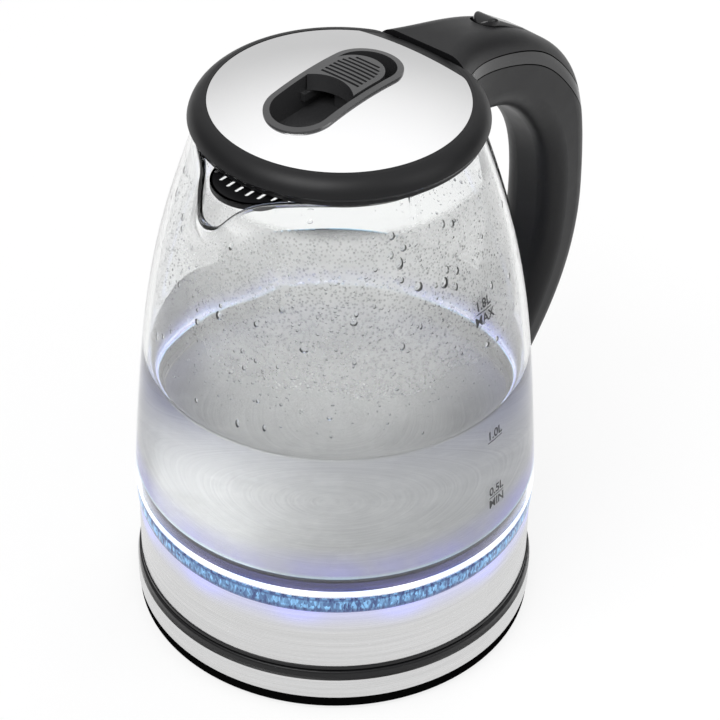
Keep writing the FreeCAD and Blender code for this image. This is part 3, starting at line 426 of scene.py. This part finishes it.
waterLook = material("water", {"Base Color": (0.985, 0.993, 1.0), "Transmission Weight": 1.0, "IOR": 1.333},
                     stillWater)
waterSpec = dict(level=121.0, low=57.9, seat=((73.3, 57.9), (73.3, 59.3), (75.5, 59.3), (75.5, 66.6)),
                 wallFrom=67.2, climb=1.2, curl=1.3, ripple=0.10, turns=200)


def waterFill(spec):
    # a profile turned about the axis: floor, seat, wall, an edge that climbs the glass, then the level top
    level, climb = spec["level"], spec["climb"]
    wallZ = np.linspace(spec["wallFrom"], level + climb, 40)
    edgeR = float(bodyRadius(level)) - jug["wall"]
    inward = np.linspace(0.4, 7.0, 12)
    across = np.linspace(0.86, 0.02, 16)
    profile = np.concatenate([[(0.4, spec["low"])], spec["seat"],
                              np.stack([bodyRadius(wallZ) - jug["wall"] + 0.3, wallZ], 1),
                              np.stack([edgeR - inward, level + climb * np.exp(-inward / spec["curl"])], 1),
                              np.stack([edgeR * across, 0 * across + level], 1)])
    rows, turns = len(profile), spec["turns"]
    spin = np.linspace(0, 2 * math.pi, turns, endpoint=False)
    r, z = profile[:, :1], profile[:, 1:]
    ring = np.stack([r * np.cos(spin), r * np.sin(spin), z + 0 * spin], -1)
    ripple = spec["ripple"] * np.sin(ring[..., 0] / 5.3 + 1.2 * np.sin(ring[..., 1] / 9.0))
    ring[-len(across):, :, 2] += ripple[-len(across):]
    faces = gridFaces(rows, turns, False, True)
    faces += [list(range(turns))[::-1], list(range((rows - 1) * turns, rows * turns))]
    mesh("waterFill", ring * mm, faces, waterLook, "jug")
    print("water", rows * turns)


waterFill(waterSpec)


def drops(name, places, seed, sides, rings):
    # beads on the inner wall: each a flattened cap by latitude and longitude, its base sunk in the glass
    rng = np.random.default_rng(seed)
    lat = np.linspace(0, 1.6, rings + 1)[:, None]
    lon = np.linspace(0, 2 * math.pi, sides, endpoint=False)
    unit = np.stack([np.sin(lat) * np.cos(lon), np.sin(lat) * np.sin(lon), np.cos(lat) + 0 * lon], -1)
    unit = np.concatenate([unit[0, :1], unit[1:].reshape(-1, 3), [[0, 0, -0.1]]])
    side = np.arange(sides)
    following = (side + 1) % sides
    last = 1 + sides * (rings - 1)
    ends = np.concatenate([np.stack([0 * side, 1 + side, 1 + following], 1),
                           np.stack([last + following, last + side, 0 * side + last + sides], 1)])
    belts = np.array(gridFaces(rings, sides, False, True))[:, ::-1] + 1
    a, z, r, tall = np.array(places).T[..., None]
    wall = glassRadius(a, z) - jug["wall"]
    slope = (bodyRadius(z + 1) - bodyRadius(z - 1)) / 2
    outward = np.concatenate([-np.cos(a), -np.sin(a), 0 * a], 1)
    rise = outward * slope + [0, 0, 1]
    rise /= np.linalg.norm(rise, axis=1, keepdims=True)
    across = np.cross(rise, outward)
    inward = np.cross(across, rise)
    inward *= -np.sign((inward * outward).sum(1, keepdims=True))
    spread = 1 + 0.25 * rng.standard_normal((len(places), 1))
    axes = np.stack([across * r * spread, rise * r * tall, inward * r * 0.55], 1)
    points = unit @ axes + (outward * (wall + 0.02) + z * [0, 0, 1])[:, None]
    base = len(unit) * np.arange(len(places))[:, None, None]
    faces = (ends + base).reshape(-1, 3).tolist() + (belts + base).reshape(-1, 4).tolist()
    mesh(name, points * mm, faces, waterLook, "jug")
    print(name, len(places))


mistSpec = dict(seed=7, count=4800, low=132, span=80, top=207, least=0.2, more=0.3)
beadSpec = dict(count=110, low=128, span=78, least=0.55, more=0.9,
                large=((62, 196, 2.0), (68, 186, 1.5), (78, 184, 1.8), (80, 188, 1.2), (84, 186, 1.3),
                       (99, 172, 1.4), (60, 206, 1.3), (64, 201, 1.1), (22, 180, 1.2), (14, 172, 1.0),
                       (30, 166, 1.1), (10, 160, 0.9)))  # degrees from the spout, height, radius
rng = np.random.default_rng(mistSpec["seed"])
mist = []
while len(mist) < mistSpec["count"]:
    z = mistSpec["low"] + mistSpec["span"] * rng.random() ** 0.75
    a = 2 * math.pi * rng.random()
    patch = 0.5 + 0.5 * math.sin(3.0 * a + 0.09 * z) * math.sin(1.7 * a - 0.05 * z + 1.0)
    if rng.random() < 0.25 + 0.75 * patch * (z - 125) / 90 and z < mistSpec["top"]:
        mist.append((a, z, mistSpec["least"] + mistSpec["more"] * rng.random() ** 2, 1.0))
drops("mistDrops", mist, 3, 6, 3)
beads = []
for i in range(beadSpec["count"]):
    z = beadSpec["low"] + beadSpec["span"] * rng.random()
    beads.append((2 * math.pi * rng.random(), z, beadSpec["least"] + beadSpec["more"] * rng.random() ** 2,
                  1.0 + 0.7 * rng.random()))
beads += [(math.radians(degrees), z, r, 1.25) for degrees, z, r in beadSpec["large"]]
drops("waterBeads", beads, 5, 12, 5)


def wallFilm(name, low, high, inset, look, count=120):
    # thin closed skin that follows the glass wall between two heights: out at inset, back a hair further in
    a = np.linspace(0, 2 * math.pi, 240, endpoint=False)
    z = np.linspace(low, high, count)
    z = np.concatenate([z, z[::-1]])[:, None]
    r = bodyRadius(z) - inset
    r[count:] -= 0.08
    points = np.stack([-r * np.cos(a), -r * np.sin(a), z + 0 * a], -1)
    mesh(name, points * mm, gridFaces(len(points), len(a), True, True), look, "jug")
    print(name)


fogSpec = dict(low=126.5, high=210.0, dense=0.85, thin=0.08, bearing=2.5)


def fogLook(p):
    z = p.part(2)
    angle, reach = polar(p)
    facing = (angle + fogSpec["bearing"]).math("COSINE").ramp(-0.1, 0.7)  # densest on the near side
    patch = along(p, angle * 1.6, z * 24.0, 0.0).noise(1.0, 4.0, 0.6).ramp(0.3, 0.7) * 0.35 + 0.65
    fine = p.cells(800.0).ramp(0.1, 0.55)
    band = z.ramp(0.122, 0.165) * (z.ramp(0.165, 0.195) * 0.5 + 0.5) * (1.0 - z.ramp(0.204, 0.2095))
    cover = facing * fogSpec["dense"] + fogSpec["thin"]
    return {"Alpha": patch * band * (fine * 0.5 + 0.5) * cover, "Roughness": fine * 0.15 + 0.8}


fog = material("fogFilm", {"Base Color": (0.93, 0.93, 0.93)}, fogLook)
wallFilm("fogFilm", fogSpec["low"], fogSpec["high"], jug["wall"] + 0.15, fog)


glowSpec = dict(low=66.7, high=84.0, strength=1.1)


def glowLook(p):
    z = p.part(2)
    angle, reach = polar(p)
    lamps = byLamps(angle) * 0.5 + 0.5
    line = 1.0 - z.ramp(0.0678, 0.0686)
    haze = (1.0 - z.ramp(0.068, 0.083)) * (p.noise(45.0, 3.0).ramp(0.25, 0.8) * 0.8 + 0.2)
    far = (angle - 0.87).math("COSINE").ramp(-0.5, 0.1)  # the near side shows only haze
    return {"Alpha": line * lamps * far * 0.6 + haze * (far * 0.2 + 0.16),
            "Emission Color": line.tint((0.22, 0.2, 0.95), (0.42, 0.74, 1.0))}


glow = material("lampGlow", {"Base Color": (0.02, 0.04, 0.2), "Roughness": 0.6,
                             "Emission Strength": glowSpec["strength"]}, glowLook)
wallFilm("lampGlow", glowSpec["low"], glowSpec["high"], jug["wall"] + 0.12, glow, 24)


def footLook(p):
    angle, reach = polar(p)
    return {"Emission Color": byLamps(angle).tint((0.62, 0.72, 1.0), (1.0, 1.0, 1.0))}


# lamp light gathered in the foot of the glass, seen as a white line
footLight = material("footLight", {"Base Color": (0.8, 0.85, 1.0), "Emission Strength": 1.15}, footLook)


def turnedRing(name, corners, look):
    # closed section (radius, height), given from inside low round to outside, turned about the axis
    a = np.linspace(0, 2 * math.pi, 300, endpoint=False)
    r, z = np.array(corners).T[..., None]
    points = np.stack([r * np.cos(a), r * np.sin(a), z + 0 * a], -1)
    print(name, points.size // 3)
    return mesh(name, points * mm, gridFaces(len(corners), len(a), True, True), look, "jug")


turnedRing("footLight", [(77.6, 59.3), (78.7, 59.3), (78.6, 61.4), (77.6, 61.4)], footLight)
guide = turnedRing("lightBand", [(74.0, 50.9), (78.3, 50.9), (78.75, 51.2), (79.0, 51.9), (79.1, 53.4),
                                 (79.1, 56.6), (78.95, 58.0), (78.6, 58.5), (74.0, 58.5)],
                   looks["light_guide"])
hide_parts("light_ring")


def curveMesh(curve):
    # the filled curve's surface, as points and faces
    holder = bpy.data.objects.new(curve.name + "Line", curve)
    scene.collection.objects.link(holder)
    bpy.context.view_layer.update()
    made = bpy.data.meshes.new_from_object(holder.evaluated_get(bpy.context.evaluated_depsgraph_get()))
    bpy.data.objects.remove(holder)
    co = np.empty(len(made.vertices) * 3)
    made.vertices.foreach_get("co", co)
    return co.reshape(-1, 3), [list(f.vertices) for f in made.polygons]


def levelMark(name, words, z, spec):
    # figures laid on the glass by angle and height, with a short rule under their first line
    curve = bpy.data.curves.new(name, "FONT")
    curve.body = words
    curve.size = spec["size"]
    curve.space_line = 1.1
    curve.offset = spec["bold"]
    curve.align_x = "CENTER"
    figures, faces = curveMesh(curve)
    x = np.linspace(-spec["rule"], spec["rule"], 14)
    low, high = (np.stack([x, 0 * x + y], 1) for y in spec["ruleY"])
    faces += (np.array(gridFaces(2, len(x), False, False)) + len(figures)).tolist()
    flat = np.concatenate([figures[:, :2], low, high])
    height = z + flat[:, 1]
    reach = bodyRadius(height) + 0.06
    a = math.radians(spec["bearing"]) + flat[:, 0] / reach  # from the spout round to the -Y side
    points = np.stack([-reach * np.cos(a), -reach * np.sin(a), height], -1)
    mesh(name, points * mm, faces, inkLook, "jug")
    print(name)


filterSpec = dict(collarR=48.85, r=16.0, centre=45.5, top=218.4, low=216.0, thick=0.5, slots=7, slotW=1.5,
                  slotL=4.4, pitch=4.4, rowX=53.8, rowR=24.0)


def spoutFilter(spec):
    # thin crescent plate with a bent row of slots, and a rim round its outer edge
    inner, outer, mid = spec["collarR"], spec["r"], spec["centre"]
    reach = (mid ** 2 + inner ** 2 - outer ** 2) / (2 * mid)
    y = math.sqrt(inner ** 2 - reach ** 2)
    lean = math.atan2(y, reach - mid)
    arc = np.linspace(-lean, lean, 40)
    near = np.linspace(math.atan2(y, reach), -math.atan2(y, reach), 30)
    edge = [(-mid - outer * math.cos(a), outer * math.sin(a)) for a in arc]
    edge += [(-inner * math.cos(a), inner * math.sin(a)) for a in near[1:-1]]
    outlines = [edge]
    half = spec["slotL"] / 2 - spec["slotW"] / 2
    ends = np.linspace(-math.pi / 2, math.pi / 2, 7)
    for i in range(spec["slots"]):
        across = (i - (spec["slots"] - 1) / 2) * spec["pitch"]
        x = spec["rowR"] - spec["rowX"] - math.sqrt(spec["rowR"] ** 2 - across ** 2)
        r = spec["slotW"] / 2
        slot = [(x + half + r * math.cos(a), across + r * math.sin(a)) for a in ends]
        outlines.append(slot + [(x - half - r * math.cos(a), across - r * math.sin(a)) for a in ends])
    curve = bpy.data.curves.new("filterOutline", "CURVE")
    curve.dimensions = "2D"
    curve.fill_mode = "BOTH"
    curve.extrude = spec["thick"] / 2
    for outline in outlines:
        spline = curve.splines.new("POLY")
        spline.points.add(len(outline) - 1)
        spline.points.foreach_set("co", np.array([(a, b, 0, 1) for a, b in outline]).ravel())
        spline.use_cyclic_u = True
    plate, faces = curveMesh(curve)
    plate = plate + [0, 0, spec["top"] - spec["thick"] / 2]
    start = len(plate)
    r = np.array([outer, outer, outer - 1.0, outer - 1.0])
    z = np.array([spec["top"], spec["low"], spec["low"], spec["top"]])
    rows = len(arc)
    rim = np.stack([-mid - r * np.cos(arc[:, None]), r * np.sin(arc[:, None]), z + 0 * arc[:, None]], -1)
    points = np.concatenate([plate, rim.reshape(-1, 3)])
    faces += (np.array(gridFaces(rows, len(r), False, True)) + start).tolist()
    faces += [[start + 3, start + 2, start + 1, start], [start + rows * 4 - 4 + c for c in range(4)]]
    piece = mesh("filterPlate", points * mm, faces, looks["black_plastic"], "jug")
    piece.data.polygons.foreach_set("use_smooth", [False] * len(piece.data.polygons))
    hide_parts("spout_filter")
    print("filter", len(points))


spoutFilter(filterSpec)


def latchCoil():
    # the spring's own surface with its loose triangles joined
    data = nodes["latch_spring"].data
    co, corner = np.empty(len(data.vertices) * 3), np.empty(len(data.loops), int)
    data.vertices.foreach_get("co", co)
    data.loops.foreach_get("vertex_index", corner)
    points, joined = np.unique(np.round(co.reshape(-1, 3), 7), axis=0, return_inverse=True)
    tris = joined.reshape(-1)[corner].reshape(-1, 3)
    tris = tris[(tris[:, 0] != tris[:, 1]) & (tris[:, 1] != tris[:, 2]) & (tris[:, 2] != tris[:, 0])]
    made = next(e["material_slot"] for e in frame["record"]["subparts"] if e["node"] == "latch_spring")
    coil = mesh("latchCoil", points, tris.tolist(), looks[made], "lid")
    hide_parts("latch_spring")
    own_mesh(coil)
    print("coil", len(tris))


latchCoil()


def printedInk(p):
    worn = p.noise(900.0, 3.0)
    return {"Base Color": worn.tint((0.008, 0.008, 0.009), (0.03, 0.03, 0.032)), "Roughness": worn * 0.2 + 0.4}


inkLook = material("printedInk", {}, printedInk)
markSpec = dict(size=5.2, bold=0.12, rule=4.4, ruleY=(-1.3, -0.9), bearing=92.0)
levelMark("markHigh", "1.8L\nMAX", 168.0, markSpec)
levelMark("markMiddle", "1.0L", 112.0, markSpec)
levelMark("markLow", "0.5L\nMIN", 86.0, markSpec)

floorMesh = bpy.data.meshes.new("floor")
floorMesh.from_pydata([(-4, -4, 0), (4, -4, 0), (4, 4, 0), (-4, 4, 0)], [], [(0, 1, 2, 3)])
floor = bpy.data.objects.new("floor", floorMesh)
scene.collection.objects.link(floor)
pale = bpy.data.materials.new("paleFloor")
pale.use_nodes = True
tree = pale.node_tree
path = tree.nodes.new("ShaderNodeLightPath")
seen = Wire(tree, path.outputs["Is Camera Ray"])
for other in ("Is Glossy Ray", "Is Transmission Ray"):
    seen = seen.math("MAXIMUM", Wire(tree, path.outputs[other]))
shader = next(n for n in tree.nodes if n.type == "BSDF_PRINCIPLED")
shader.inputs["Base Color"].default_value = (0.86, 0.86, 0.86, 1)
shader.inputs["Roughness"].default_value = 0.9
shader.inputs["Specular IOR Level"].default_value = 0.0
lit = seen.add("ShaderNodeEmission", {}, {"Color": (1, 1, 1, 1), "Strength": 1.0})
both = seen.add("ShaderNodeMixShader", {}, {0: seen * 0.8, 1: Wire(tree, shader.outputs[0]), 2: lit})
tree.links.new(both.socket, next(n for n in tree.nodes if n.type == "OUTPUT_MATERIAL").inputs[0])
floorMesh.materials.append(pale)

world = bpy.data.worlds.new("studio")
scene.world = world
world.use_nodes = True
tree = world.node_tree
path = tree.nodes.new("ShaderNodeLightPath")
glossy = Wire(tree, path.outputs["Is Glossy Ray"])
through = Wire(tree, path.outputs["Is Transmission Ray"])
direction = Wire(tree, tree.nodes.new("ShaderNodeTexCoord").outputs["Generated"])
studioSpec = dict(right=(0.643, -0.766), level=0.62, sides=0.72)  # darker to the picture's left and right
sideways = (direction.part(0) * studioSpec["right"][0] + direction.part(1) * studioSpec["right"][1]).math("ABSOLUTE")
studio = 1.0 - sideways.ramp(0.45, 0.95) * (1.0 - direction.part(2).ramp(0.3, 0.8)) * studioSpec["sides"]
mirrored = studio * (direction.part(2).ramp(0.15, 0.95) * 0.5 + studioSpec["level"])
level = glossy * (mirrored - studioSpec["level"]) + studioSpec["level"]
level = through * (studio - level) + level
level = level.math("MAXIMUM", Wire(tree, path.outputs["Is Camera Ray"]))
backdrop = next(n for n in tree.nodes if n.type == "BACKGROUND")
backdrop.inputs[0].default_value = (1, 1, 1, 1)
tree.links.new(level.socket, backdrop.inputs[1])


def softbox(name, place, aim, size, power, mirrored=True):
    data = bpy.data.lights.new(name, "AREA")
    data.shape = "RECTANGLE"
    data.size, data.size_y = size
    data.energy = power
    lamp = bpy.data.objects.new(name, data)
    scene.collection.objects.link(lamp)
    lamp.visible_glossy = mirrored
    lamp.location = place
    lamp.rotation_euler = (Vector(aim) - Vector(place)).to_track_quat("-Z", "Y").to_euler()


softbox("keyLight", (-0.9, -0.1, 1.5), (0, 0, 0.12), (1.0, 0.8), 16)
softbox("sideLight", (0.4, -1.3, 0.9), (0, 0, 0.12), (0.8, 1.0), 5)
softbox("backLight", (1.4, 0.3, 0.9), (0, 0, 0.15), (0.9, 0.7), 8, False)
print("stage")
